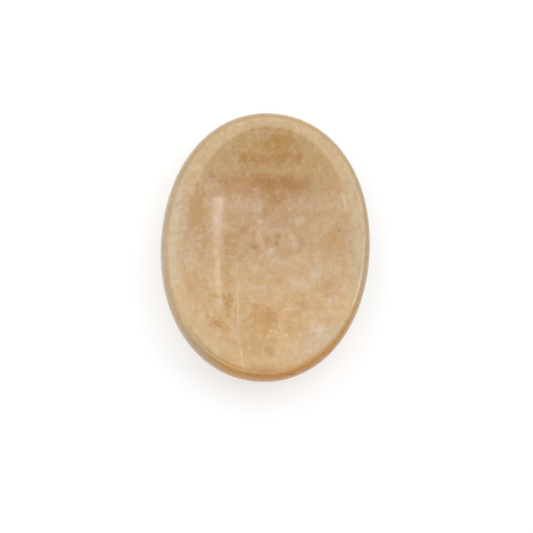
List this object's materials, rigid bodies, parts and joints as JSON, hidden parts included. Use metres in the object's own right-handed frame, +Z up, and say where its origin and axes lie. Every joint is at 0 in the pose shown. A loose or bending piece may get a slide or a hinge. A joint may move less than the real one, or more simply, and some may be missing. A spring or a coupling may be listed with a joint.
{
  "type": "palm stone",
  "caption": "Polished oval palm stone of peach quartz: domed back with a small flat resting spot, rounded rim and a broad shallow thumb hollow.",
  "frame": {"origin": "middle of the small flat spot that the stone rests on, straight below the middle of its oval", "axes": "+Z up, out of the hollow; +Y along the stone's length, to the end where the hollow's lip is crispest; +X across its width"},
  "size_m": [0.035, 0.0453, 0.009],
  "materials": {
    "polished_quartz": "hand-polished, glossy, slightly translucent"
  },
  "bodies": {
    "root": {"palm_stone": "polished_quartz"}
  },
  "joints": []
}
